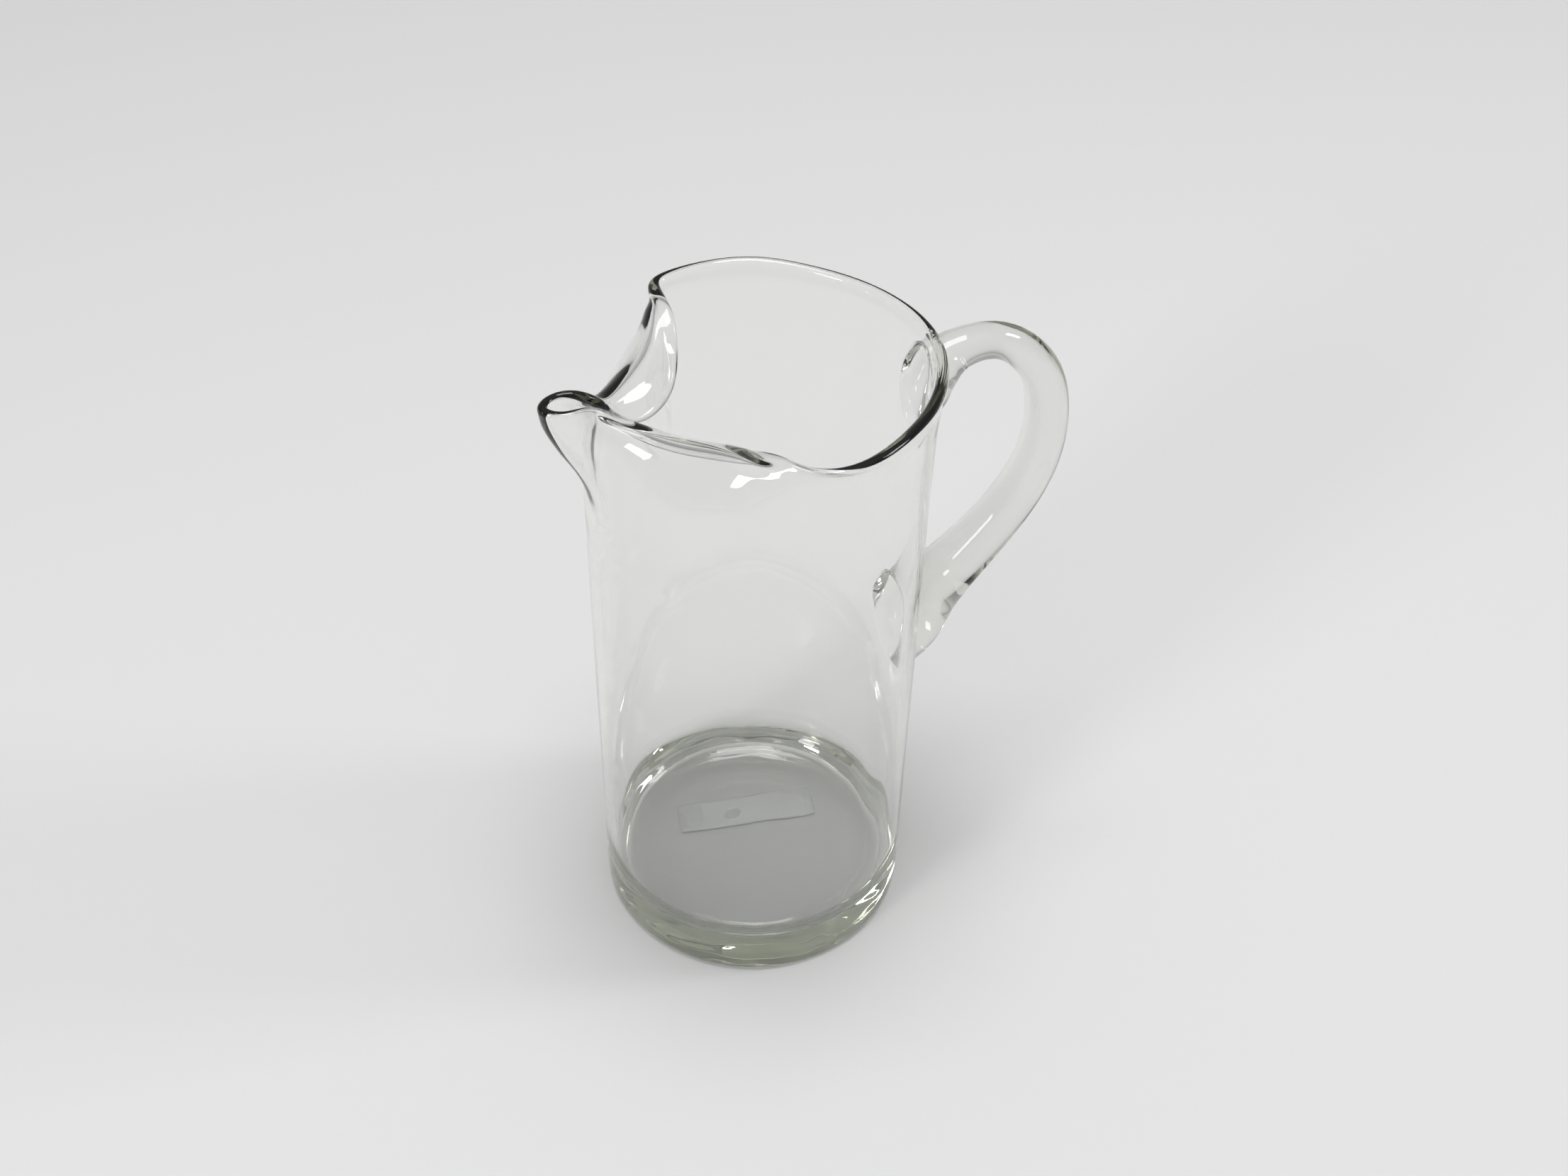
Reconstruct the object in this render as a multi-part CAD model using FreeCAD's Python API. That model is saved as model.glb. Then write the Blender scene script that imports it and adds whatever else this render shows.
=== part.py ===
"""Large glass water jug with a pinched pouring lip.

Three separate pieces make the jug: the blown body with its thick base, the solid handle that is
applied to its wall, and a paper label stuck in the shallow dome under the base.
Millimetres. The origin is the middle of the foot ring, +Z up, the spout points to -X and the
handle to +X.
"""

import FreeCAD
import Part
import math
import os

Vector = FreeCAD.Vector

# ---- Driving dimensions ----------------------------------------------------------------------
BODY_RADIUS = 55.0  # outside of the straight wall
WALL = 3.2  # thickness of the wall
FLOOR_TOP = 11.5  # the inside floor, above the table
FLOOR_CORNER = 14.0  # radius between the inside floor and the wall
FOOT_EDGE = 3.0  # radius round the outside of the base
RECESS_RADIUS = 44.0  # the shallow dome under the base, inside the foot ring
RECESS_DEPTH = 1.2  # at its middle
RIM_BEAD = 2.05  # radius of the fire-polished rim
SPOUT_BEAD = 1.6  # the rim is finer round the spout
LIP_START = 176.0  # below this height the wall is a plain cylinder
LIP_EASE = 191.0  # and it hardly leaves the cylinder before this one
LABEL_SIZE = (52.5, 14.0, 0.2)
LABEL_CENTRE = (3.5, 18.0)
LABEL_TURN = -8.0  # degrees

WALL_MID = BODY_RADIUS - WALL / 2
DOME_RADIUS = (RECESS_RADIUS**2 + RECESS_DEPTH**2) / (2 * RECESS_DEPTH)

# ---- The lip ---------------------------------------------------------------------------------
# Lines that run up the middle of the wall, one for each angle from the spout round to the handle
# on the left side (+Y). Each has five points between the shoulder and the centre of the rim, as
# (towards the spout, sideways, height). The two folds beside the spout roll inwards and down.
LEFT_LINES = {
    0: ((56.5, 0, 203), (60.8, 0, 211.5), (64.2, 0, 218.5), (66.2, 0, 224), (67, 0, 229)),
    8: ((54.6, 6.9, 205), (57.6, 6.5, 213.5), (60, 5.9, 220.5), (61.2, 5.2, 225.5), (61.4, 4.8, 229)),
    17: ((50.6, 13.6, 206), (51.8, 11, 215), (52.6, 8, 221.6), (52.4, 5.4, 225.2), (51.6, 3.7, 226.6)),
    27: ((46, 21.7, 206), (45.4, 17, 215.4), (44.4, 11.8, 221.4), (42.8, 7.8, 220.6), (40.4, 5.4, 215.8)),
    38: ((39.6, 30.8, 207), (36.9, 26, 216.6), (34.1, 20.4, 222), (31.6, 15.2, 220.2), (29.2, 11.4, 213.8)),
    50: ((32.6, 39.2, 208), (29.5, 34.9, 217.8), (26.3, 29.8, 224), (23.4, 25.6, 222.8), (20.8, 22.6, 217)),
    62: ((24.4, 46.2, 210), (22.9, 43.7, 219.4), (21.9, 41.5, 226), (20.4, 37.8, 228.1), (17.4, 35.1, 227.7)),
    74: ((15.2, 51, 208), (16, 50.7, 216), (16.4, 50.5, 222), (17.6, 49.4, 226.4), (17.9, 48.1, 229.7)),
    86: ((4.6, 53.6, 206), (5.8, 54, 214), (7.4, 54.5, 220.5), (9, 54.8, 226), (10.2, 54.6, 229.6)),
    103: ((-12.1, 52.4, 206), (-12.1, 53, 214), (-12.2, 53.6, 220), (-12.2, 54.2, 225), (-12.3, 54.8, 229.6)),
    125: ((-30.8, 44, 206), (-30.9, 44.1, 214), (-31, 44.2, 220), (-31.2, 44.4, 225), (-31.4, 44.7, 229.2)),
    151: ((-46.9, 26, 206), (-47.1, 26.1, 214), (-47.5, 26.3, 220), (-47.8, 26.5, 225), (-48.1, 26.7, 228.8)),
    180: ((-53.4, 0, 206), (-53.6, 0, 214), (-54.4, 0, 220), (-55.4, 0, 225), (-56.2, 0, 228.6)),
}
# The right fold was worked by hand separately, and is a little rounder where it meets the rim.
RIGHT_LINES = {
    17: ((50.6, 13.6, 206), (52, 11.4, 215.2), (52.9, 9, 222.4), (52.8, 6.6, 226.4), (52, 4.9, 228)),
    27: ((46, 21.7, 206), (45.6, 17.9, 215.8), (45, 13.8, 222.6), (43.2, 9.4, 224.2), (40.6, 6.4, 219.4)),
    38: ((39.8, 31, 207), (37.8, 27, 216.4), (35.4, 21.6, 222.6), (32.4, 16.4, 221.8), (29.4, 12.8, 215.8)),
    50: ((33, 39.4, 208), (30.4, 35.6, 217.8), (27.2, 30.4, 224.2), (23.4, 26, 223.8), (19.8, 23.6, 219)),
    62: ((24.8, 46.3, 210), (23.2, 43.8, 219.4), (20.8, 40, 225.8), (17.6, 37, 227.4), (14.4, 35.8, 225.4)),
    74: ((15, 51, 208), (14.8, 50.4, 216), (13.9, 48.9, 222.4), (12.2, 46.8, 227), (10.1, 45, 229.4)),
    86: ((4.4, 53.4, 206), (4.4, 53.6, 214), (4.2, 53.7, 220.5), (3.6, 53.5, 225.4), (2.8, 52.8, 229.2)),
    103: ((-12.1, 52.4, 206), (-12, 53, 214), (-11.9, 53.7, 220), (-11.8, 54.4, 225), (-11.8, 55, 229.3)),
}
LIP_ROWS = 7  # two on the cylinder, then the five above
AROUND = 4  # surface rows between one line and the next
UP = 3  # surface rows between one point of a line and the next
BEAD_STEPS = 6  # rows over the rim, from the outside to the inside
BEAD_GROWS_FROM = 0.8  # share of the lip's height where the wall starts to thicken
TOLERANCE = 0.001

# ---- The handle ------------------------------------------------------------------------------
# Sections along the handle from its upper to its lower root, as (distance from the jug's axis,
# height, half thickness in the plane of the jug, half width across it).
HANDLE_SECTIONS = (
    (50, 203.5, 17.5, 12),
    (53.6, 205, 17.2, 11.2),
    (56.6, 208, 15.6, 9.8),
    (58.9, 213.6, 11, 8.9),
    (61.6, 217.5, 8.5, 8),
    (67, 221, 6.6, 6.8),
    (77, 221.8, 5.9, 6.2),
    (86.2, 217.8, 6.1, 6.4),
    (94.2, 209.6, 6.6, 6.9),
    (99.4, 198.5, 7.1, 7.3),
    (101.4, 185, 7.4, 7.6),
    (100.2, 171, 7.7, 7.9),
    (95.3, 157.5, 8, 8.2),
    (87.7, 145.5, 8.3, 8.7),
    (79.3, 135.5, 8.7, 9.5),
    (71, 126.8, 9.4, 10.7),
    (63.2, 118.8, 11.5, 12.4),
    (57.5, 112.5, 15, 14),
    (53.5, 110, 18.5, 14.8),
    (50, 109, 20.5, 15),
)
UPRIGHT_TO = 2.5  # sections by the upper root stay upright, like the wall, up to this one
SQUARE_FROM = 6  # and are square across the handle from this one on
HANDLE_AROUND = 24
HANDLE_ALONG = 2  # surface rows between one section and the next


# ---- Smooth surfaces through points ----------------------------------------------------------
def poles_through(values, closed):
    """Control values of the uniform cubic spline that passes through the given ones."""
    poles = list(values)
    for _ in range(60):
        ends = (poles[-1], poles[0]) if closed else (poles[0] * 2 - poles[1], poles[-1] * 2 - poles[-2])
        padded = [ends[0], *poles, ends[1]]
        reached = [(a + b * 4 + c) * (1 / 6) for a, b, c in zip(padded, padded[1:], padded[2:])]
        poles = [pole + value - now for pole, value, now in zip(poles, values, reached)]
    if closed:
        return poles
    return [poles[0] * 2 - poles[1], *poles, poles[-1] * 2 - poles[-2]]


def point_at(poles, where, closed):
    """The spline's value at a place counted in points."""
    step = math.floor(where) if closed else min(math.floor(where), len(poles) - 4)
    f = where - step
    weights = ((1 - f) ** 3, 3 * f**3 - 6 * f**2 + 4, -3 * f**3 + 3 * f**2 + 3 * f + 1, f**3)
    first = step - 1 if closed else step
    chosen = [poles[(first + k) % len(poles)] for k in range(4)]
    return sum((pole * weight for pole, weight in zip(chosen, weights)), chosen[0] * 0) * (1 / 6)


def surface_through(rings):
    """Two faces, one for each half, of the smooth surface through rings of points."""
    rows = [poles_through(ring, True) for ring in rings]
    columns = [poles_through(list(column), False) for column in zip(*rows)]
    around, up = len(columns), len(columns[0])
    surface = Part.BSplineSurface()
    surface.buildFromPolesMultsKnots(
        [columns[(k - 1) % around] for k in range(around)],
        [1] * (around + 1),
        [1] * (up + 4),
        [float(k) for k in range(around + 1)],
        [float(k - 3) for k in range(up + 4)],
        True,
        False,
        3,
        3,
    )
    faces = []
    for start in (0, around // 2):
        half = surface.copy()
        half.segment(start, start + around // 2, 0, len(rings) - 1)
        faces.append(half.toShape())
    return faces


# ---- The body --------------------------------------------------------------------------------
def on_wall(angle, height):
    """A point in the middle of the straight wall, by its angle from the spout."""
    return Vector(-WALL_MID * math.cos(angle), WALL_MID * math.sin(angle), height)


def lip_lines():
    """Every line round the jug, as its angle in radians and its points' offsets from the wall."""
    left = [(degrees, points, 1) for degrees, points in LEFT_LINES.items()]
    right = [(360 - degrees, RIGHT_LINES.get(degrees, points), -1) for degrees, points, _ in left[-2:0:-1]]
    lines = []
    for degrees, points, side in left + right:
        angle = math.radians(degrees)
        offsets = [Vector(0, 0, LIP_START), Vector(0, 0, LIP_EASE)]
        for forward, sideways, height in points:
            offsets.append(Vector(-forward, side * sideways, height) - on_wall(angle, 0))
        lines.append((angle, offsets))
    return lines


def lip_middle():
    """Rows of points up the middle of the lip's wall, each a closed ring."""
    lines = lip_lines()
    count = len(lines)
    turn = 2 * math.pi / count
    angle_poles = poles_through([angle - turn * k for k, (angle, _) in enumerate(lines)], True)
    row_poles = [poles_through([offsets[row] for _, offsets in lines], True) for row in range(LIP_ROWS)]
    columns = []
    for k in range(count * AROUND):
        where = k / AROUND
        foot = on_wall(point_at(angle_poles, where, True) + turn * where, 0)
        line = poles_through([point_at(poles, where, True) for poles in row_poles], False)
        steps = (LIP_ROWS - 1) * UP
        columns.append([foot + point_at(line, step / UP, False) for step in range(steps + 1)])
    return [list(row) for row in zip(*columns)]


def outward(rows, row, k):
    """The unit normal of the middle surface, and its unit direction up the wall."""
    ring = rows[row]
    around = ring[(k + 1) % len(ring)] - ring[k - 1]
    upper, lower = min(row + 1, len(rows) - 1), max(row - 1, 0)
    up = rows[upper][k] - rows[lower][k]
    if row == 0:
        up = Vector(0, 0, 1)
    elif upper == row:
        up = rows[row][k] * 3 - rows[row - 1][k] * 4 + rows[row - 2][k]
    normal = up.cross(around).normalize()
    return normal, up.normalize()


def half_wall(row, row_count, k, ring_count):
    """Half the glass's thickness, which grows to the rim's bead near the top."""
    from_spout = min(k, ring_count - k) / AROUND
    bead = SPOUT_BEAD + (RIM_BEAD - SPOUT_BEAD) * min(max((from_spout - 1.5) / 4, 0), 1)
    share = max(row / (row_count - 1) - BEAD_GROWS_FROM, 0) / (1 - BEAD_GROWS_FROM)
    return WALL / 2 + (bead - WALL / 2) * share * share * (3 - 2 * share)


def lip_rings():
    """Rings of the lip's skin: up the outside, over the rim and down the inside."""
    middle = lip_middle()
    count, around = len(middle), len(middle[0])
    outside, inside = [], []
    for row in range(count):
        out_ring, in_ring = [], []
        for k in range(around):
            normal, _ = outward(middle, row, k)
            half = half_wall(row, count, k, around)
            out_ring.append(middle[row][k] + normal * half)
            in_ring.append(middle[row][k] - normal * half)
        outside.append(out_ring)
        inside.append(in_ring)
    bead = []
    for step in range(1, BEAD_STEPS):
        angle = math.pi * step / BEAD_STEPS
        ring = []
        for k in range(around):
            normal, up = outward(middle, count - 1, k)
            half = half_wall(count - 1, count, k, around)
            ring.append(middle[-1][k] + (normal * math.cos(angle) + up * math.sin(angle)) * half)
        bead.append(ring)
    return outside + bead + inside[::-1]


def dome_point(distance):
    """A point on the dome under the base, by its distance from the axis."""
    drop = DOME_RADIUS - math.sqrt(DOME_RADIUS**2 - distance**2)
    return Vector(distance, 0, RECESS_DEPTH - drop)


def lower_section():
    """The half section of the base and the straight wall, as a closed face beside the axis."""
    inner = BODY_RADIUS - WALL
    slope = math.sqrt(0.5)
    edge = FOOT_EDGE * (1 - slope)
    corner = FLOOR_CORNER * (1 - slope)
    foot_start = Vector(BODY_RADIUS - FOOT_EDGE, 0, 0)
    foot_end = Vector(BODY_RADIUS, 0, FOOT_EDGE)
    floor_start = Vector(inner, 0, FLOOR_TOP + FLOOR_CORNER)
    floor_end = Vector(inner - FLOOR_CORNER, 0, FLOOR_TOP)
    foot = [Vector(RECESS_RADIUS, 0, 0), foot_start]
    wall = [foot_end, Vector(BODY_RADIUS, 0, LIP_START), Vector(inner, 0, LIP_START), floor_start]
    floor = [floor_end, Vector(0, 0, FLOOR_TOP), dome_point(0)]
    curves = [Part.LineSegment(a, b) for line in (foot, wall, floor) for a, b in zip(line, line[1:])]
    curves.append(Part.Arc(dome_point(0), dome_point(RECESS_RADIUS / 2), foot[0]))
    curves.append(Part.Arc(foot_start, Vector(BODY_RADIUS - edge, 0, edge), foot_end))
    curves.append(Part.Arc(floor_start, Vector(inner - corner, 0, FLOOR_TOP + corner), floor_end))
    edges = Part.__sortEdges__([curve.toShape() for curve in curves])
    return Part.Face(Part.Wire(edges))


def edges_at(faces, axis, place):
    """The faces' edges that lie in the plane where this coordinate has this value."""
    found = []
    for edge in (edge for face in faces for edge in face.Edges):
        box = edge.BoundBox
        low, high = getattr(box, axis + "Min"), getattr(box, axis + "Max")
        if max(abs(low - place), abs(high - place)) < TOLERANCE:
            found.append(edge)
    return sorted(found, key=lambda edge: edge.Length)


def closed_solid(faces):
    """The solid inside faces that meet at their edges."""
    shell = Part.makeCompound(faces)
    shell.sewShape()
    solid = Part.Solid(shell.Shells[0])
    if solid.Volume < 0:
        solid.reverse()
    return solid


def glass_body():
    lower = lower_section().revolve(Vector(0, 0, 0), Vector(0, 0, 1), 360)
    skin = surface_through(lip_rings())
    edges = edges_at(skin, "Z", LIP_START)
    ring = Part.Face([Part.Wire(edges[2:]), Part.Wire(edges[:2])])
    lip = closed_solid([*skin, ring])
    return lower.fuse([lip], TOLERANCE).Solids[0]


# ---- The handle ------------------------------------------------------------------------------
def handle_rings():
    """Rings of points round the handle, from its upper to its lower root."""
    numbers = [poles_through([float(s[i]) for s in HANDLE_SECTIONS], False) for i in range(4)]
    steps = (len(HANDLE_SECTIONS) - 1) * HANDLE_ALONG
    places = [[point_at(poles, k / HANDLE_ALONG, False) for poles in numbers] for k in range(steps + 1)]
    rings = []
    for k, (distance, height, half_depth, half_width) in enumerate(places):
        before, after = places[max(k - 1, 0)], places[min(k + 1, steps)]
        share = (k / HANDLE_ALONG - UPRIGHT_TO) / (SQUARE_FROM - UPRIGHT_TO)
        square = 0 if k == steps else min(max(share, 0), 1)
        along = Vector(after[0] - before[0], 0, (after[1] - before[1]) * square).normalize()
        normal = Vector(-along.z, 0, along.x)
        ring = []
        for j in range(HANDLE_AROUND):
            angle = 2 * math.pi * j / HANDLE_AROUND
            across = Vector(0, half_width * math.sin(angle), 0)
            ring.append(Vector(distance, 0, height) + normal * (half_depth * math.cos(angle)) + across)
        rings.append(ring)
    return rings


def handle(body):
    rings = handle_rings()
    sides = surface_through(rings)
    ends = []
    for ring in (rings[0], rings[-1]):
        above = max(point.z for point in ring)
        edges = [edge for edge in edges_at(sides, "X", ring[0].x) if edge.BoundBox.ZMax <= above + TOLERANCE]
        ends.append(Part.Face(Part.Wire(edges[-2:])))
    outside = closed_solid([*sides, *ends]).cut(body)
    return max(outside.Solids, key=lambda piece: piece.Volume)


# ---- The label -------------------------------------------------------------------------------
def base_label():
    """The label follows the dome: a thin round sheet under it, cut to the label's outline."""
    length, width, thickness = LABEL_SIZE
    down = Vector(0, 0, -thickness)
    places = [dome_point(RECESS_RADIUS * share) for share in (0, 0.5, 1)]
    top, bottom = Part.Arc(*places), Part.Arc(*[place + down for place in places])
    sides = [Part.LineSegment(place, place + down) for place in (places[0], places[-1])]
    edges = Part.__sortEdges__([curve.toShape() for curve in (top, bottom, *sides)])
    sheet = Part.Face(Part.Wire(edges)).revolve(Vector(0, 0, 0), Vector(0, 0, 1), 360)
    outline = Part.makeBox(length, width, 2 * RECESS_DEPTH, Vector(-length / 2, -width / 2, -thickness))
    outline.rotate(Vector(0, 0, 0), Vector(0, 0, 1), LABEL_TURN)
    outline.translate(Vector(*LABEL_CENTRE, 0))
    return sheet.common(outline).Solids[0]


def main():
    os.makedirs("parts", exist_ok=True)
    body = glass_body()
    pieces = {"glass_body": body, "handle": handle(body), "base_label": base_label()}
    for name, shape in pieces.items():
        shape.exportStep(f"parts/{name}.step")
        box = shape.BoundBox
        print(name, shape.ShapeType, "valid", shape.isValid(), "volume", round(shape.Volume))
        print("   x", round(box.XMin, 2), round(box.XMax, 2), "y", round(box.YMin, 2), round(box.YMax, 2))
        print("   z", round(box.ZMin, 2), round(box.ZMax, 2))


main()
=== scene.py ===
"""Large glass water jug: the blown body and its applied handle as one piece of clear glass, with a
blank paper label in the shallow dome under its thick base.

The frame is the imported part's: the origin is the middle of the foot ring, +Z up, the spout points to
-X and the handle to +X. The shapes are worked out in millimetres and become metres in
blender_object(). The floor's reach and the lamps are given in metres.
"""

import math

import bmesh
import bpy
import numpy as np
from mathutils import Matrix, Vector


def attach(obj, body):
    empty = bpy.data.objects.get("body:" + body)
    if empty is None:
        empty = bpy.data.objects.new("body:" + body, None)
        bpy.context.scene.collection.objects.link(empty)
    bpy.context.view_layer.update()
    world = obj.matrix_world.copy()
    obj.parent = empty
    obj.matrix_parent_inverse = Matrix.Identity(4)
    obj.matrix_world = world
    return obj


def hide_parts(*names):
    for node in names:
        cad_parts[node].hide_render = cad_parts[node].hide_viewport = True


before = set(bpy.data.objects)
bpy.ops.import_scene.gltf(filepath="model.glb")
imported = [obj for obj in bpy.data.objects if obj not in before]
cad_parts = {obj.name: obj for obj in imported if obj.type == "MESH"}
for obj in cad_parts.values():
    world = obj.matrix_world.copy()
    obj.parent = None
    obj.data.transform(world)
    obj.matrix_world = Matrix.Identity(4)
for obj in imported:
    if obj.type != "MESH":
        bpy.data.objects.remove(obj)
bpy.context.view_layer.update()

MM = 0.001

# ---- Dimensions, in millimetres ---------------------------------------------------------------
BODY_RADIUS = 55.0  # outside of the straight wall
WALL = 3.2  # thickness of the wall
FLOOR_TOP = 11.5  # the inside floor, above the table
FLOOR_CORNER = 14.0  # radius between the inside floor and the wall
FOOT_EDGE = 3.0  # radius round the outside of the base
RECESS_RADIUS = 44.0  # the shallow dome under the base, inside the foot ring
RECESS_DEPTH = 1.2  # at its middle
DOME_RADIUS = (RECESS_RADIUS**2 + RECESS_DEPTH**2) / (2 * RECESS_DEPTH)
RIM_BEAD = 2.05  # radius of the fire-polished rim
SPOUT_BEAD = 1.6  # the rim is finer round the spout
SPOUT_BEAD_TO = 1.5  # up to this many lines from it
RIM_BEAD_FROM = 5.5  # and reaches its full size at this many
BEAD_GROWS_FROM = 0.8  # share of the lip's height where the wall starts to thicken
LIP_START = 176.0  # below this height the wall is a plain cylinder
LIP_EASE = 191.0  # and it hardly leaves the cylinder before this one
WALL_MID = BODY_RADIUS - WALL / 2
LABEL_SIZE = (52.5, 14.0, 0.2)
LABEL_CORNER = 1.0
LABEL_CENTRE = (3.5, 18.0)
LABEL_TURN = -8.0  # degrees
LABEL_GAP = 0.02  # between the label and the glass

# Lines up the middle of the wall, by their angle from the spout round to the handle on the +Y
# side: (towards the spout, sideways, height).
LEFT_LINES = {
    0: ((56.5, 0, 203), (60.8, 0, 211.5), (64.2, 0, 218.5), (66.2, 0, 224), (67, 0, 229)),
    8: ((54.6, 6.9, 205), (57.6, 6.5, 213.5), (60, 5.9, 220.5), (61.2, 5.2, 225.5), (61.4, 4.8, 229)),
    17: ((50.6, 13.6, 206), (51.8, 11, 215), (52.6, 8, 221.6), (52.4, 5.4, 225.2), (51.6, 3.7, 226.6)),
    27: ((46, 21.7, 206), (45.4, 17, 215.4), (44.4, 11.8, 221.4), (42.8, 7.8, 220.6), (40.4, 5.4, 215.8)),
    38: ((39.6, 30.8, 207), (36.9, 26, 216.6), (34.1, 20.4, 222), (31.6, 15.2, 220.2), (29.2, 11.4, 213.8)),
    50: ((32.6, 39.2, 208), (29.5, 34.9, 217.8), (26.3, 29.8, 224), (23.4, 25.6, 222.8), (20.8, 22.6, 217)),
    62: ((24.4, 46.2, 210), (22.9, 43.7, 219.4), (21.9, 41.5, 226), (20.4, 37.8, 228.1), (17.4, 35.1, 227.7)),
    74: ((15.2, 51, 208), (16, 50.7, 216), (16.4, 50.5, 222), (17.6, 49.4, 226.4), (17.9, 48.1, 229.7)),
    86: ((4.6, 53.6, 206), (5.8, 54, 214), (7.4, 54.5, 220.5), (9, 54.8, 226), (10.2, 54.6, 229.6)),
    103: ((-12.1, 52.4, 206), (-12.1, 53, 214), (-12.2, 53.6, 220), (-12.2, 54.2, 225), (-12.3, 54.8, 229.6)),
    125: ((-30.8, 44, 206), (-30.9, 44.1, 214), (-31, 44.2, 220), (-31.2, 44.4, 225), (-31.4, 44.7, 229.2)),
    151: ((-46.9, 26, 206), (-47.1, 26.1, 214), (-47.5, 26.3, 220), (-47.8, 26.5, 225), (-48.1, 26.7, 228.8)),
    180: ((-53.4, 0, 206), (-53.6, 0, 214), (-54.4, 0, 220), (-55.4, 0, 225), (-56.2, 0, 228.6)),
}
# The same for the -Y side, where it was worked differently.
RIGHT_LINES = {
    17: ((50.6, 13.6, 206), (52, 11.4, 215.2), (52.9, 9, 222.4), (52.8, 6.6, 226.4), (52, 4.9, 228)),
    27: ((46, 21.7, 206), (45.6, 17.9, 215.8), (45, 13.8, 222.6), (43.2, 9.4, 224.2), (40.6, 6.4, 219.4)),
    38: ((39.8, 31, 207), (37.8, 27, 216.4), (35.4, 21.6, 222.6), (32.4, 16.4, 221.8), (29.4, 12.8, 215.8)),
    50: ((33, 39.4, 208), (30.4, 35.6, 217.8), (27.2, 30.4, 224.2), (23.4, 26, 223.8), (19.8, 23.6, 219)),
    62: ((24.8, 46.3, 210), (23.2, 43.8, 219.4), (20.8, 40, 225.8), (17.6, 37, 227.4), (14.4, 35.8, 225.4)),
    74: ((15, 51, 208), (14.8, 50.4, 216), (13.9, 48.9, 222.4), (12.2, 46.8, 227), (10.1, 45, 229.4)),
    86: ((4.4, 53.4, 206), (4.4, 53.6, 214), (4.2, 53.7, 220.5), (3.6, 53.5, 225.4), (2.8, 52.8, 229.2)),
    103: ((-12.1, 52.4, 206), (-12, 53, 214), (-11.9, 53.7, 220), (-11.8, 54.4, 225), (-11.8, 55, 229.3)),
}
LIP_ROWS = 7  # points up a line: the shoulder, the ease and the line's own five

# Sections along the handle: (distance from the axis, height, half thickness, half width).
HANDLE_SECTIONS = (
    (50, 203.5, 17.5, 12),
    (53.6, 205, 17.2, 11.2),
    (56.6, 208, 15.6, 9.8),
    (58.9, 213.6, 11, 8.9),
    (61.6, 217.5, 8.5, 8),
    (67, 221, 6.6, 6.8),
    (77, 221.8, 5.9, 6.2),
    (86.2, 217.8, 6.1, 6.4),
    (94.2, 209.6, 6.6, 6.9),
    (99.4, 198.5, 7.1, 7.3),
    (101.4, 185, 7.4, 7.6),
    (100.2, 171, 7.7, 7.9),
    (95.3, 157.5, 8, 8.2),
    (87.7, 145.5, 8.3, 8.7),
    (79.3, 135.5, 8.7, 9.5),
    (71, 126.8, 9.4, 10.7),
    (63.2, 118.8, 11.5, 12.4),
    (57.5, 112.5, 15, 14),
    (53.5, 110, 18.5, 14.8),
    (50, 109, 20.5, 15),
)
UPRIGHT_TO = 2.5  # the sections by the upper root stay upright up to this one
SQUARE_FROM = 6  # and are square across the handle from this one on
UPPER_ROOT = 3.5  # the handle leaves the wall within this many sections of its upper end
LOWER_ROOT = 3.2  # and of its lower end
NEAR_LINES = 2  # its roots are looked for on the wall this many lines to either side
BELOW_LIP = 110.0  # and this far down the straight wall

# ---- Mesh density -----------------------------------------------------------------------------
COLUMNS_PER_LINE = 8
ROWS_PER_POINT = 6
BEAD_STEPS = 12  # over the rim, from the outside to the inside
DOME_RINGS = 24
RING_STEPS = 4  # across the flat of the foot ring
RING_ROWS = (1.2, 0.6)  # the flat has a row this far inside each of its edges
EDGE_STEPS = 7  # round the outside of the base
CORNER_STEPS = 12  # round the inside corner
FLOOR_STEPS = 24
FLOOR_ROW = 1.5  # the floor's first row is this far inside its corner
INNERMOST = 1.5  # radius of the ring that closes on the middle of the dome or the floor
ROWS_BELOW_JOIN = 23
ROWS_ABOVE_JOIN = 12  # between the lower join and the lip
JOIN_COLUMNS = 12  # a join's block of wall, across and up
JOIN_ROWS = 30
JOIN_RINGS = 6
LOWER_JOIN = (84.0, 135.0)  # heights of the block of wall round the handle's lower root
UPPER_JOIN_ROWS = (3, 3 + JOIN_ROWS)  # and the rows of the lip round its upper one
INSIDE_STARTS = 2.0  # the inner wall's lowest row is at least this far above the inside corner
HANDLE_AROUND = 2 * (JOIN_COLUMNS + JOIN_ROWS)
HANDLE_STEPS = 110
LABEL_CORNER_STEPS = 6
LABEL_RINGS = (0.08, 0.25, 0.45, 0.65, 0.82, 1.0)  # as shares of its outline
POLE_PASSES = 60  # each brings a spline closer to its points
GUIDE_COLUMNS = 81  # places round the wall and up the lip for a first guess
GUIDE_ROWS = 61
WALL_PASSES = 4  # each brings a place on the wall closer to its point
LARGEST_MOVE = 0.5  # up the wall, in one of them
ROOT_HALVINGS = 22

# ---- The unevenness of glass made by hand -----------------------------------------------------
BASE_WAVE = 0.05  # heights of the waves
WALL_WAVE = 0.035
INNER_WAVE = 0.05
BASE_HEIGHT = 32.0  # the thick base's fade out by this height
EDGE_FADE = 6.0  # and over this distance inside the edge of the foot ring
WALL_FADE = (150.0, LIP_START)  # the wall's fade out between these heights
SIDE_GROWS = (40.0, 48.0)  # and grow between these distances from the axis
WAVE_CIRCLE = 20.0  # round the wall, the waves are read off a circle of this radius
OUTER_SLANT = (9.0, -7.0)  # the heights that shift them by a millimetre, along X and Y
INNER_SLANT = (-12.0, 10.0)
INNER_CLOSER = 1.4  # the inner surface's are this many times as close
INNER_PHASE = 1.3
FLOOR_PHASE = 2.2
# Crossing waves: (radians a millimetre along X, the same along Y, phase).
RIPPLES = ((0.145, 0.31, 0.4), (-0.27, 0.17, 1.9), (0.39, -0.23, 3.1), (0.11, 0.52, 5.2), (-0.61, -0.35, 2.6))

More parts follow.
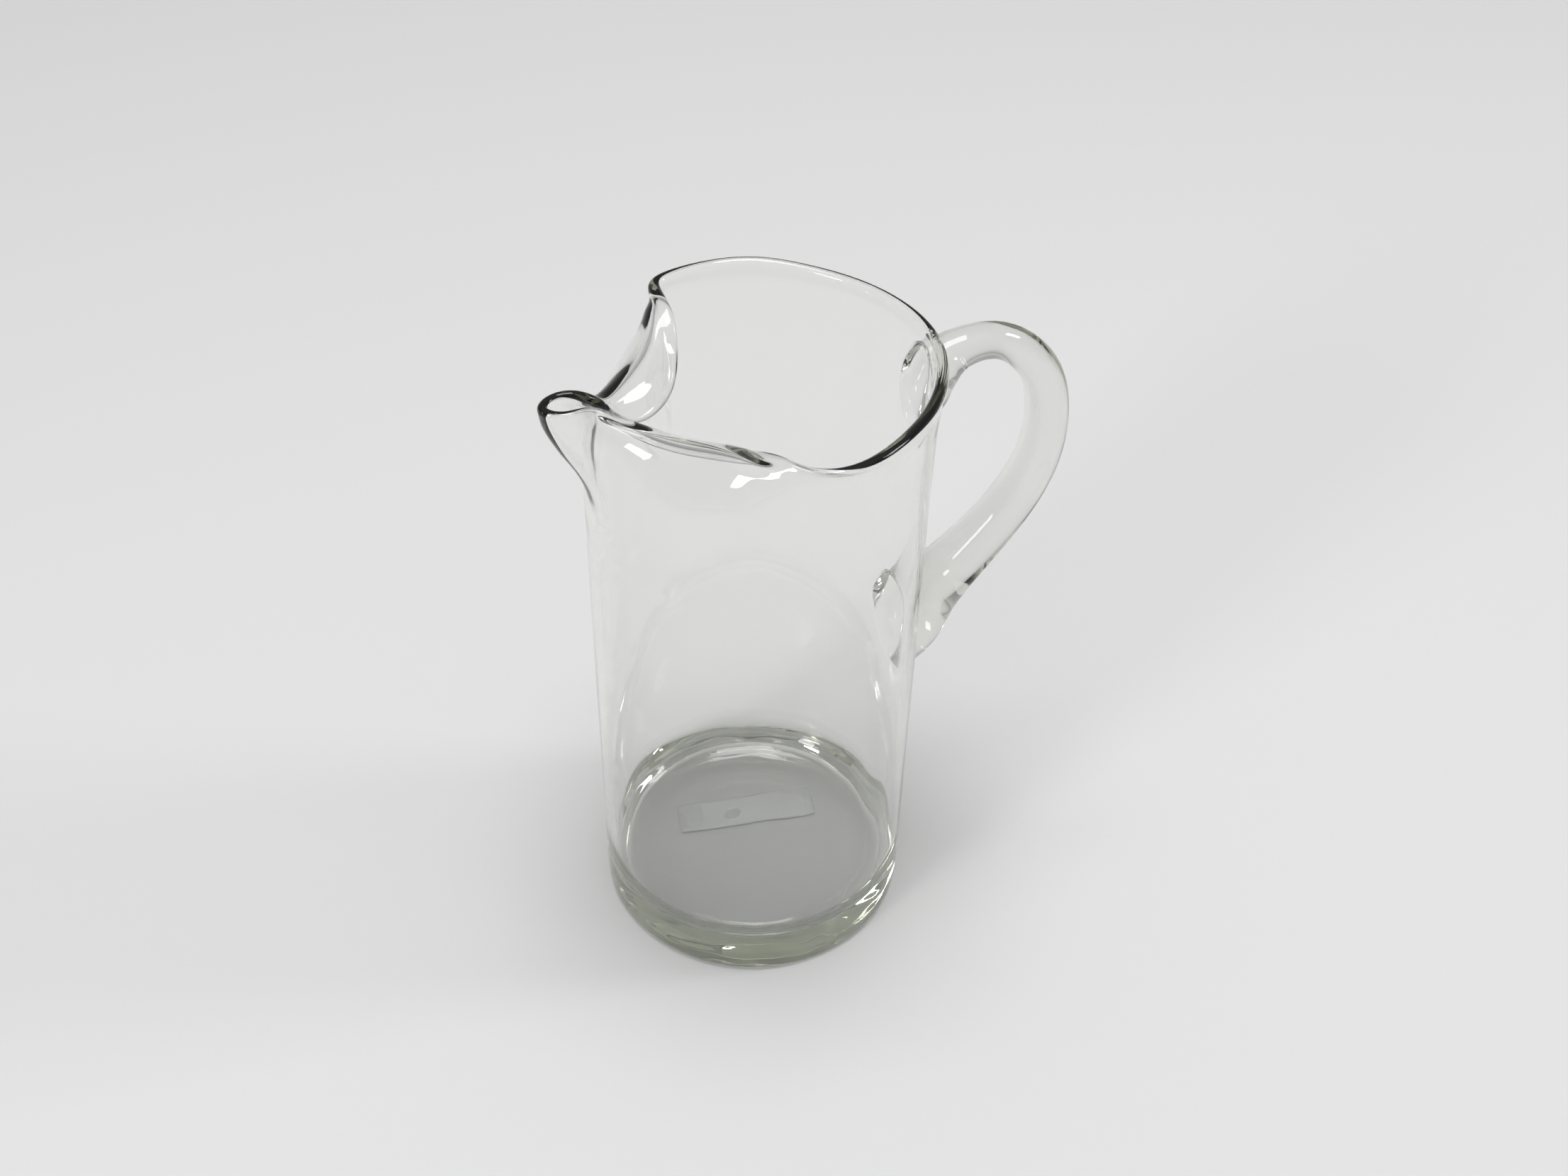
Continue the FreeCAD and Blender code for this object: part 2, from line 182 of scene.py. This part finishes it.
# ---- Looks, floor, light and camera -----------------------------------------------------------
GLASS_IOR = 1.5
GLASS_TINT = (0.55, 0.58, 0.45, 1)
GLASS_DENSITY = 14
PAPER_DARK = (0.87, 0.88, 0.9, 1)
PAPER_LIGHT = (0.94, 0.95, 0.97, 1)
FIBRE_HEIGHT = 0.1
FLOOR_REACH = 20.0  # metres, from its middle to each side
FLOOR_DROP = 0.2  # below the foot ring
# The lamps, in metres and watts: (name, place, what it points at, size, power).
LAMPS = (
    ("softbox", (0, 0, 2.2), (0, 0, 0), (0.95, 0.95), 19),
    ("window_left", (-1.65, -0.8, 1.1), (0, 0, 0.2), (0.4, 0.55), 8),
    ("window_right", (1.6, -0.4, 1.2), (0, 0, 0.2), (0.4, 0.55), 6),
)
# Greys of the room: level and below, overhead, and between them by the sine of the height.
ROOM_BELOW = 0.85
ROOM_ABOVE = 1.0
ROOM_BETWEEN = ((0.2, 0.55), (0.45, 0.4))
ROOM_STRENGTH = 0.62
CAMERA_PLACE = (-157.3, -432.1, 566.0)
CAMERA_DOWN = 42.91  # degrees below level
CAMERA_PAN = 68.83  # degrees round from +X
CAMERA_ROLL = 1.60
CAMERA_LENS = 43.145
CAMERA_SENSOR = 36.0


# ---- Uniform cubic splines through points -----------------------------------------------------
def poles(values, closed):
    """Control values, along the first axis, of the spline through the given ones."""
    values = np.asarray(values, float)
    made = values.copy()
    for _ in range(POLE_PASSES):
        if closed:
            before, after = np.roll(made, 1, 0), np.roll(made, -1, 0)
        else:
            before = np.concatenate([2 * made[:1] - made[1:2], made[:-1]])
            after = np.concatenate([made[1:], 2 * made[-1:] - made[-2:-1]])
        made = made + values - (before + 4 * made + after) / 6
    if closed:
        return made
    return np.concatenate([2 * made[:1] - made[1:2], made, 2 * made[-1:] - made[-2:-1]])


def weights(where, count, closed):
    """For each place, the four poles that count and their weights."""
    where = np.asarray(where, float)
    step = np.floor(where).astype(int)
    if not closed:
        step = np.clip(step, 0, count - 4)
    f = where - step
    second, third = 3 * f**3 - 6 * f**2 + 4, -3 * f**3 + 3 * f**2 + 3 * f + 1
    values = np.stack([(1 - f) ** 3, second, third, f**3], -1) / 6
    picks = step[..., None] + np.arange(4) - (1 if closed else 0)
    return (picks % count if closed else picks), values


def spline(made, where, closed):
    """Values of the spline at the given places, counted in points along it."""
    picks, values = weights(where, len(made), closed)
    return np.einsum("...k,...kd->...d", values, made[picks])


# ---- The lip's surfaces -----------------------------------------------------------------------
def lip_lines():
    """The angle of each line round the jug, and its points, measured from the foot of the wall."""
    left = [(degrees, points, 1) for degrees, points in LEFT_LINES.items()]
    right = [(360 - degrees, RIGHT_LINES.get(degrees, points), -1) for degrees, points, _ in left[-2:0:-1]]
    angles, offsets = [], []
    for degrees, points, side in left + right:
        angle = math.radians(degrees)
        foot = np.array([-WALL_MID * math.cos(angle), WALL_MID * math.sin(angle), 0])
        rows = [(0, 0, LIP_START), (0, 0, LIP_EASE)]
        rows += [np.array([-ahead, side * aside, height]) - foot for ahead, aside, height in points]
        angles.append(angle)
        offsets.append(rows)
    return np.array(angles), np.array(offsets, float)


LINE_ANGLES, LINE_OFFSETS = lip_lines()
LINES = len(LINE_ANGLES)
LINE_TURN = 2 * math.pi / LINES
ANGLE_POLES = poles((LINE_ANGLES - LINE_TURN * np.arange(LINES))[:, None], True)
OFFSET_POLES = poles(np.swapaxes(poles(LINE_OFFSETS, True), 0, 1), False)
TOP = LIP_ROWS - 1.0


def angle_at(u):
    """Angle from the spout of a place round the jug, counted in lines."""
    return spline(ANGLE_POLES, u, True)[..., 0] + LINE_TURN * u


def middle(u, v):
    """The middle of the wall. u counts lines round from the spout. v counts points up a line from
    the shoulder, and below it is the distance down the straight wall in millimetres."""
    u, v = np.broadcast_arrays(np.asarray(u, float), np.asarray(v, float))
    angle = angle_at(u)
    ring = np.stack([-WALL_MID * np.cos(angle), WALL_MID * np.sin(angle), 0 * angle], -1)
    up = np.clip(v, 0, TOP)
    around, side_weights = weights(u, LINES, True)
    rows, row_weights = weights(up, LIP_ROWS + 2, False)
    chosen = OFFSET_POLES[rows[..., :, None], around[..., None, :]]
    offset = np.einsum("...i,...j,...ijd->...d", row_weights, side_weights, chosen)
    return ring + offset + np.minimum(v, 0)[..., None] * np.array([0, 0, 1.0])


def directions(u, v):
    """Unit vectors out of the wall and up it."""
    step = 0.02  # of a line round the wall, and of a point up it
    around = middle(u + step, v) - middle(u - step, v)
    above = np.where(v > TOP - step, TOP, v + step)
    below = np.where(v > TOP - step, TOP - step, v - step)
    up = middle(u, above) - middle(u, below)
    straight = (np.asarray(v) <= 0)[..., None]
    up = np.where(straight, np.array([0, 0, 1.0]), up)
    normal = np.cross(up, around)
    normal = normal / np.linalg.norm(normal, axis=-1, keepdims=True)
    return normal, up / np.linalg.norm(up, axis=-1, keepdims=True)


def half_wall(u, v):
    """Half the wall's thickness, which grows into the bead of the rim."""
    from_spout = np.minimum(u % LINES, LINES - u % LINES)
    fuller = np.clip((from_spout - SPOUT_BEAD_TO) / (RIM_BEAD_FROM - SPOUT_BEAD_TO), 0, 1)
    bead = SPOUT_BEAD + (RIM_BEAD - SPOUT_BEAD) * fuller
    share = np.clip(np.asarray(v) / TOP - BEAD_GROWS_FROM, 0, None) / (1 - BEAD_GROWS_FROM)
    return WALL / 2 + (bead - WALL / 2) * share * share * (3 - 2 * share)


def skin(u, v, side):
    """The outer (side 1) or inner (side -1) surface of the wall."""
    u, v = np.broadcast_arrays(np.asarray(u, float), np.asarray(v, float))
    normal, _ = directions(u, v)
    return middle(u, v) + side * half_wall(u, v)[..., None] * normal


# ---- The handle's surface ---------------------------------------------------------------------
SECTION_POLES = poles(HANDLE_SECTIONS, False)
HANDLE_END = len(HANDLE_SECTIONS) - 1.0


def handle_point(where, turn):
    """A point on the handle, by its place along the sections and the angle round it."""
    distance, height, depth, width = np.moveaxis(spline(SECTION_POLES, where, False), -1, 0)
    step = 0.25  # of a section
    before = spline(SECTION_POLES, np.clip(where - step, 0, HANDLE_END), False)
    after = spline(SECTION_POLES, np.clip(where + step, 0, HANDLE_END), False)
    along = (after - before)[..., :2]
    square = np.clip((where - UPRIGHT_TO) / (SQUARE_FROM - UPRIGHT_TO), 0, 1)
    along = np.stack([along[..., 0], along[..., 1] * square], -1)
    along = along / np.linalg.norm(along, axis=-1, keepdims=True)
    x = distance - along[..., 1] * depth * np.cos(turn)
    z = height + along[..., 0] * depth * np.cos(turn)
    return np.stack([x, width * np.sin(turn), z], -1)


def wall_place(points):
    """Where on the outer wall near the handle each point is, and how far out of it.

    A first guess is read off a few places on the wall, and Newton's method brings it closer."""
    guide_u = np.linspace(LINES / 2 - NEAR_LINES, LINES / 2 + NEAR_LINES, GUIDE_COLUMNS)
    guide_v = np.concatenate([np.arange(-BELOW_LIP, 0), np.linspace(0, TOP, GUIDE_ROWS)])
    angle = np.arctan2(points[..., 1], -points[..., 0]) % (2 * np.pi)
    u = np.interp(angle, angle_at(guide_u), guide_u)
    v = np.interp(points[..., 2], skin(LINES / 2, guide_v, 1)[:, 2], guide_v)
    h = 0.01
    for _ in range(WALL_PASSES):
        here = skin(u, v, 1)
        du = (skin(u + h, v, 1) - here) / h
        dv = (skin(u, v - h, 1) - here) / -h
        gap = points - here
        a, b, c = (du * du).sum(-1), (du * dv).sum(-1), (dv * dv).sum(-1)
        p, q = (gap * du).sum(-1), (gap * dv).sum(-1)
        det = a * c - b * b
        u = u + (p * c - q * b) / det
        v = np.minimum(v + np.clip((a * q - b * p) / det, -LARGEST_MOVE, LARGEST_MOVE), TOP)
    normal, _ = directions(u, v)
    return u, v, ((points - skin(u, v, 1)) * normal).sum(-1)


def root(turns, inside, outside):
    """How far along the handle each of its lines leaves the wall, and the place on the wall."""
    low, high = np.full(len(turns), inside), np.full(len(turns), outside)
    for _ in range(ROOT_HALVINGS):
        mid = (low + high) / 2
        _, _, out = wall_place(handle_point(mid, turns))
        low, high = np.where(out < 0, mid, low), np.where(out < 0, high, mid)
    u, v, _ = wall_place(handle_point(high, turns))
    return high, u, v


# ---- The jug's mesh ---------------------------------------------------------------------------
def arc(centre, radius, start, end, steps):
    """Points on an arc of a half section, as (distance from the axis, height)."""
    angles = np.radians(np.linspace(start, end, steps + 1))
    return [(centre[0] + radius * math.cos(a), centre[1] + radius * math.sin(a)) for a in angles]


def straight(start, end, steps):
    """Points along a line of a half section, without its last one."""
    shares = np.arange(steps) / steps
    return [(start[0] + (end[0] - start[0]) * t, start[1] + (end[1] - start[1]) * t) for t in shares]


def dome(distance):
    """Height of the dome under the base."""
    return RECESS_DEPTH - DOME_RADIUS + np.sqrt(DOME_RADIUS**2 - np.square(distance))


def foot_section():
    """From the middle of the underside, out over the foot ring and up to the straight wall."""
    by_dome, by_edge = RING_ROWS
    points = [(r, float(dome(r))) for r in np.linspace(INNERMOST, RECESS_RADIUS, DOME_RINGS)]
    flat = BODY_RADIUS - FOOT_EDGE - by_edge
    points += straight((RECESS_RADIUS + by_dome, 0), (flat, 0), RING_STEPS) + [(flat, 0)]
    return points + arc((BODY_RADIUS - FOOT_EDGE, FOOT_EDGE), FOOT_EDGE, -90, 0, EDGE_STEPS)


def floor_section():
    """From the straight wall down round the inside corner and in over the floor."""
    inner = BODY_RADIUS - WALL - FLOOR_CORNER
    corner = arc((inner, FLOOR_TOP + FLOOR_CORNER), FLOOR_CORNER, 0, -90, CORNER_STEPS)
    last = (INNERMOST, FLOOR_TOP)
    return corner + straight((inner - FLOOR_ROW, FLOOR_TOP), last, FLOOR_STEPS) + [last]


COLUMNS = LINES * COLUMNS_PER_LINE
AROUND = np.arange(COLUMNS) / COLUMNS_PER_LINE


def outer_rows():
    """Places up the outer wall, as middle() counts them."""
    low, high = LOWER_JOIN
    heights = list(np.linspace(FOOT_EDGE, low, ROWS_BELOW_JOIN + 1)[1:])
    heights += list(np.linspace(low, high, JOIN_ROWS + 1)[1:])
    heights += list(np.linspace(high, LIP_START, ROWS_ABOVE_JOIN + 1)[1:-1])
    lip = np.arange(int(TOP) * ROWS_PER_POINT + 1) / ROWS_PER_POINT
    return np.concatenate([np.array(heights) - LIP_START, lip])


class Mesh:
    """Points and faces, gathered a part at a time."""

    def __init__(self):
        self.points, self.faces, self.count = [], [], 0

    def add(self, points):
        """Adds points and gives their numbers, in the same arrangement."""
        flat = np.asarray(points, float).reshape(-1, 3)
        numbers = np.arange(self.count, self.count + len(flat))
        self.points.append(flat)
        self.count += len(flat)
        return numbers.reshape(np.shape(points)[:-1])

    def strip(self, below, above):
        """Quads between two closed rings of the same length."""
        after_below, after_above = np.roll(below, -1), np.roll(above, -1)
        self.faces += np.stack([below, after_below, after_above, above], -1).tolist()


def section_rings(section):
    """A half section turned round the axis, in the columns of the wall."""
    angle = angle_at(AROUND)
    ring = np.stack([-np.cos(angle), np.sin(angle), 0 * angle], -1)
    return np.array([distance * ring + (0, 0, height) for distance, height in section])


def join_edge(rows, columns):
    """A block's edge, from the middle of its top towards +Y and round, as (row, column) places."""
    (low, high), (first, last) = rows, columns
    half = (last - first) // 2
    centre = first + half
    edge = [(high, centre - k) for k in range(half)]
    edge += [(high - k, first) for k in range(high - low)]
    edge += [(low, first + k) for k in range(last - first)]
    edge += [(low + k, last) for k in range(high - low)]
    return edge + [(high, last - k) for k in range(half)]


def jug_mesh():
    """The jug's whole surface: out from under the base, up the wall, over the rim, down inside and
    in over the floor, with the handle joined on where it meets the wall."""
    mesh = Mesh()
    places = outer_rows()
    low = section_rings(foot_section())
    wall = skin(AROUND[None, :], places[:, None], 1)
    bead_angles = np.pi * np.arange(1, BEAD_STEPS) / BEAD_STEPS
    normal, up = directions(AROUND, np.full(COLUMNS, TOP))
    half = half_wall(AROUND, TOP)[None, :, None]
    turned = normal * np.cos(bead_angles)[:, None, None] + up * np.sin(bead_angles)[:, None, None]
    bead = middle(AROUND, np.full(COLUMNS, TOP)) + half * turned
    corner_top = FLOOR_TOP + FLOOR_CORNER - LIP_START
    inside_places = places[places > corner_top + INSIDE_STARTS][::-1]
    inside = skin(AROUND[None, :], inside_places[:, None], -1)
    floor = section_rings(floor_section())
    rings = mesh.add(np.concatenate([low, wall, bead, inside, floor]))

    # The handle's two roots: each takes the place of a block of the wall.
    first_row = len(low)
    row_of = {round(float(place), 6): first_row + k for k, place in enumerate(places)}
    middle_column = COLUMNS // 2
    columns = (middle_column - JOIN_COLUMNS // 2, middle_column + JOIN_COLUMNS // 2)
    upper = tuple(row_of[round(row / ROWS_PER_POINT, 6)] for row in UPPER_JOIN_ROWS)
    lower = tuple(row_of[round(height - LIP_START, 6)] for height in LOWER_JOIN)
    turns = 2 * np.pi * np.arange(HANDLE_AROUND) / HANDLE_AROUND
    ends = []
    for rows, turn, inside_end, outside_end in (
        (upper, turns, 0.0, UPPER_ROOT),
        (lower, np.pi - turns, HANDLE_END, HANDLE_END - LOWER_ROOT),
    ):
        edge = join_edge(rows, columns)
        edge_u = np.array([AROUND[column] for _, column in edge])
        edge_v = np.array([places[row - first_row] for row, _ in edge])
        where, root_u, root_v = root(turn, inside_end, outside_end)
        before = np.array([rings[row, column] for row, column in edge])
        for k in range(1, JOIN_RINGS + 1):
            share = k / JOIN_RINGS
            u, v = edge_u + (root_u - edge_u) * share, edge_v + (root_v - edge_v) * share
            ring = mesh.add(skin(u, v, 1))
            mesh.strip(before, ring)
            before = ring
        ends.append((before, where, turn))

    for row in range(len(rings) - 1):
        in_join = any(a <= row < b for a, b in (upper, lower))
        a, b = rings[row], rings[row + 1]
        quads = np.stack([a, np.roll(a, -1), np.roll(b, -1), b], -1)
        if in_join:
            keep = np.ones(COLUMNS, bool)
            keep[columns[0] : columns[1]] = False
            quads = quads[keep]
        mesh.faces += quads.tolist()
    for ring, height in ((rings[0], RECESS_DEPTH), (rings[-1], FLOOR_TOP)):
        centre = int(mesh.add([[0, 0, height]])[0])
        after = np.roll(ring, -1)
        pairs = (after, ring) if height == RECESS_DEPTH else (ring, after)
        mesh.faces += [[int(a), int(b), centre] for a, b in zip(*pairs)]

    # The handle, from its upper root to its lower one.
    (start, start_where, turn), (end, end_where, _) = ends
    share = np.linspace(0, 1, HANDLE_STEPS + 1)[1:-1]
    end_where = np.roll(end_where[::-1], 1 + HANDLE_AROUND // 2)
    end = np.roll(end[::-1], 1 + HANDLE_AROUND // 2)
    before = start
    for t in share:
        ring = mesh.add(handle_point(start_where + (end_where - start_where) * t, turn))
        mesh.strip(before, ring)
        before = ring
    mesh.strip(before, end)
    return mesh


# ---- The glass's unevenness -------------------------------------------------------------------
def ripple(x, y, phase):
    """A smooth uneven height field of about unit size, each of whose waves is weaker than the last."""
    waves = [np.sin(a * x + b * y + c + phase) for a, b, c in RIPPLES]
    return sum(wave / (1 + k / 2) for k, wave in enumerate(waves))


def slanted(circle, z, slant, phase):
    """Ripples round the wall that drift sideways with height."""
    along_x, along_y = slant
    return ripple(circle[0] + z / along_x, circle[1] + z / along_y, phase)


def uneven(points):
    """The jug's points, moved a few hundredths of a millimetre as blown glass is."""
    x, y, z = points.T
    radius = np.hypot(x, y)
    angle = np.arctan2(y, x)
    fade = np.clip((WALL_FADE[1] - z) / (WALL_FADE[1] - WALL_FADE[0]), 0, 1)
    around = WAVE_CIRCLE * np.stack([np.cos(angle), np.sin(angle)])
    wall = slanted(around, z, OUTER_SLANT, 0.0)
    inner = slanted(INNER_CLOSER * around, z, INNER_SLANT, INNER_PHASE) * (radius < WALL_MID)
    side = np.clip((radius - SIDE_GROWS[0]) / (SIDE_GROWS[1] - SIDE_GROWS[0]), 0, 1) * fade
    out = (WALL_WAVE * wall + INNER_WAVE * inner) * side
    low = np.clip((BASE_HEIGHT - z) / BASE_HEIGHT, 0, 1)
    within = np.clip((BODY_RADIUS - FOOT_EDGE - radius) / EDGE_FADE, 0, 1)
    phase = np.where(z > FLOOR_TOP / 2, FLOOR_PHASE, 0.0)
    up = BASE_WAVE * ripple(x, y, phase) * low * within
    moved = points.copy()
    moved[:, 0] += out * np.cos(angle)
    moved[:, 1] += out * np.sin(angle)
    moved[:, 2] += up
    return moved


# ---- Scene ------------------------------------------------------------------------------------
def blender_object(name, points, faces):
    """A smooth mesh object of the given points, in millimetres, with its normals facing out."""
    data = bpy.data.meshes.new(name)
    data.from_pydata((np.asarray(points) * MM).tolist(), [], faces)
    work = bmesh.new()
    work.from_mesh(data)
    loose = [vert for vert in work.verts if not vert.link_faces]
    bmesh.ops.delete(work, geom=loose, context="VERTS")
    bmesh.ops.recalc_face_normals(work, faces=work.faces)
    if work.calc_volume(signed=True) < 0:
        bmesh.ops.reverse_faces(work, faces=work.faces)
    open_edges = [edge for edge in work.edges if len(edge.link_faces) != 2]
    assert not open_edges, f"{name} has {len(open_edges)} open edges"
    work.to_mesh(data)
    work.free()
    data.polygons.foreach_set("use_smooth", [True] * len(data.polygons))
    made = bpy.data.objects.new(name, data)
    bpy.context.scene.collection.objects.link(made)
    return made


def node_material(name):
    """A new material with its nodes and links."""
    material = bpy.data.materials.new(name)
    material.use_nodes = True
    return material, material.node_tree.nodes, material.node_tree.links


def glass_material():
    """Clear glass with a weak olive-grey absorption, which shows in the thick base."""
    material, nodes, links = node_material("clear_glass")
    shader = nodes["Principled BSDF"]
    shader.inputs["Base Color"].default_value = (1, 1, 1, 1)
    shader.inputs["Transmission Weight"].default_value = 1
    shader.inputs["Roughness"].default_value = 0
    shader.inputs["IOR"].default_value = GLASS_IOR
    tint = nodes.new("ShaderNodeVolumeAbsorption")
    tint.inputs["Color"].default_value = GLASS_TINT
    tint.inputs["Density"].default_value = GLASS_DENSITY
    links.new(tint.outputs["Volume"], nodes["Material Output"].inputs["Volume"])
    return material


jug = jug_mesh()
glass = blender_object("jug_glass", uneven(np.concatenate(jug.points)), jug.faces)
glass.data.materials.append(glass_material())
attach(glass, "root")
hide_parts("glass_body", "handle")


# ---- The label --------------------------------------------------------------------------------
def label_mesh():
    """A thin sheet with small round corners under the dome, from rings of its outline."""
    length, width, thickness = LABEL_SIZE
    outline = []
    for corner, (sx, sy) in enumerate(((1, 1), (-1, 1), (-1, -1), (1, -1))):
        centre_x, centre_y = sx * (length / 2 - LABEL_CORNER), sy * (width / 2 - LABEL_CORNER)
        for k in range(LABEL_CORNER_STEPS + 1):
            angle = math.pi / 2 * (corner + k / LABEL_CORNER_STEPS)
            x, y = LABEL_CORNER * math.cos(angle), LABEL_CORNER * math.sin(angle)
            outline.append((centre_x + x, centre_y + y))
    outline = np.array(outline)
    mesh = Mesh()
    turn = math.radians(LABEL_TURN)
    spin = np.array([[math.cos(turn), math.sin(turn)], [-math.sin(turn), math.cos(turn)]])

    def ring(share, depth):
        flat = (outline * share) @ spin + LABEL_CENTRE
        height = dome(np.hypot(flat[:, 0], flat[:, 1])) - depth
        return np.column_stack([flat, height])

    under = [ring(share, LABEL_GAP + thickness) for share in LABEL_RINGS]
    rings = mesh.add(under + [ring(share, LABEL_GAP) for share in LABEL_RINGS[::-1]])
    for a, b in zip(rings, rings[1:]):
        mesh.strip(a, b)
    mesh.faces += [rings[0].tolist(), rings[-1].tolist()]
    return mesh


def paper_material():
    """Matt white paper with faint fibres."""
    material, nodes, links = node_material("label_paper")
    shader = nodes["Principled BSDF"]
    shader.inputs["Roughness"].default_value = 0.85
    place = nodes.new("ShaderNodeTexCoord")
    fibre = nodes.new("ShaderNodeTexNoise")
    fibre.inputs["Scale"].default_value = 900
    fibre.inputs["Detail"].default_value = 6
    fibre.inputs["Distortion"].default_value = 1.5
    links.new(place.outputs["Object"], fibre.inputs["Vector"])
    ramp = nodes.new("ShaderNodeValToRGB")
    ramp.color_ramp.elements[0].color = PAPER_DARK
    ramp.color_ramp.elements[1].color = PAPER_LIGHT
    links.new(fibre.outputs["Fac"], ramp.inputs["Fac"])
    links.new(ramp.outputs["Color"], shader.inputs["Base Color"])
    bump = nodes.new("ShaderNodeBump")
    bump.inputs["Strength"].default_value = 0.15
    bump.inputs["Distance"].default_value = FIBRE_HEIGHT * MM
    links.new(fibre.outputs["Fac"], bump.inputs["Height"])
    links.new(bump.outputs["Normal"], shader.inputs["Normal"])
    return material


card = label_mesh()
label = blender_object("base_label_card", np.concatenate(card.points), card.faces)
label.data.materials.append(paper_material())
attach(label, "root")
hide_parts("base_label")


# ---- Floor, light and camera ------------------------------------------------------------------
def floor_material():
    """A plain pale matt floor."""
    material, nodes, _ = node_material("floor")
    shader = nodes["Principled BSDF"]
    shader.inputs["Base Color"].default_value = (0.8, 0.8, 0.8, 1)
    shader.inputs["Roughness"].default_value = 0.9
    shader.inputs["Specular IOR Level"].default_value = 0.2
    return material


def floor_plane():
    """The floor, which belongs to the scene and not to the jug."""
    data = bpy.data.meshes.new("floor")
    signs = ((-1, -1), (1, -1), (1, 1), (-1, 1))
    data.from_pydata([(x * FLOOR_REACH, y * FLOOR_REACH, 0) for x, y in signs], [], [(0, 1, 2, 3)])
    plane = bpy.data.objects.new("floor", data)
    plane.location.z = -FLOOR_DROP * MM
    data.materials.append(floor_material())
    bpy.context.scene.collection.objects.link(plane)


def area_light(name, place, target, size, power):
    """A white rectangular lamp that points at the target."""
    data = bpy.data.lights.new(name, "AREA")
    data.shape = "RECTANGLE"
    data.size, data.size_y = size
    data.energy = power
    lamp = bpy.data.objects.new(name, data)
    lamp.location = place
    lamp.rotation_euler = (Vector(target) - Vector(place)).to_track_quat("-Z", "Y").to_euler()
    bpy.context.scene.collection.objects.link(lamp)


def room_light():
    """The soft light of the room: bright overhead, dim half way down and paler at the horizon."""
    world = bpy.data.worlds.new("room")
    world.use_nodes = True
    nodes, links = world.node_tree.nodes, world.node_tree.links
    place = nodes.new("ShaderNodeTexCoord")
    parts = nodes.new("ShaderNodeSeparateXYZ")
    ramp = nodes.new("ShaderNodeValToRGB")
    links.new(place.outputs["Generated"], parts.inputs["Vector"])
    links.new(parts.outputs["Z"], ramp.inputs["Fac"])
    ramp.color_ramp.interpolation = "EASE"
    stops = ramp.color_ramp.elements
    stops[0].color = (ROOM_BELOW, ROOM_BELOW, ROOM_BELOW, 1)
    stops[1].color = (ROOM_ABOVE, ROOM_ABOVE, ROOM_ABOVE, 1)
    for height, grey in ROOM_BETWEEN:
        stops.new(height).color = (grey, grey, grey, 1)
    back = nodes["Background"]
    links.new(ramp.outputs["Color"], back.inputs["Color"])
    back.inputs["Strength"].default_value = ROOM_STRENGTH
    bpy.context.scene.world = world


def add_camera():
    """The camera, which looks down at the jug from the -Y side with a slight roll."""
    place = Vector(CAMERA_PLACE) * MM
    down, pan, roll = (math.radians(angle) for angle in (CAMERA_DOWN, CAMERA_PAN, CAMERA_ROLL))
    ahead = Vector((math.cos(down) * math.cos(pan), math.cos(down) * math.sin(pan), -math.sin(down)))
    right = ahead.cross(Vector((0, 0, 1))).normalized()
    up = right.cross(ahead)
    rolled_right = right * math.cos(roll) + up * math.sin(roll)
    rolled_up = up * math.cos(roll) - right * math.sin(roll)
    data = bpy.data.cameras.new("camera")
    data.sensor_width = CAMERA_SENSOR
    data.sensor_fit = "HORIZONTAL"
    data.lens = CAMERA_LENS
    data.clip_start = 0.01
    camera = bpy.data.objects.new("camera", data)
    turn = Matrix((rolled_right, rolled_up, -ahead)).transposed()
    camera.matrix_world = Matrix.Translation(place) @ turn.to_4x4()
    bpy.context.scene.collection.objects.link(camera)
    bpy.context.scene.camera = camera


floor_plane()
room_light()
for lamp in LAMPS:
    area_light(*lamp)
add_camera()

cycles = bpy.context.scene.cycles
cycles.max_bounces = 24
cycles.transmission_bounces = 24
cycles.glossy_bounces = 12
cycles.transparent_max_bounces = 16
bpy.context.scene.view_settings.view_transform = "Standard"
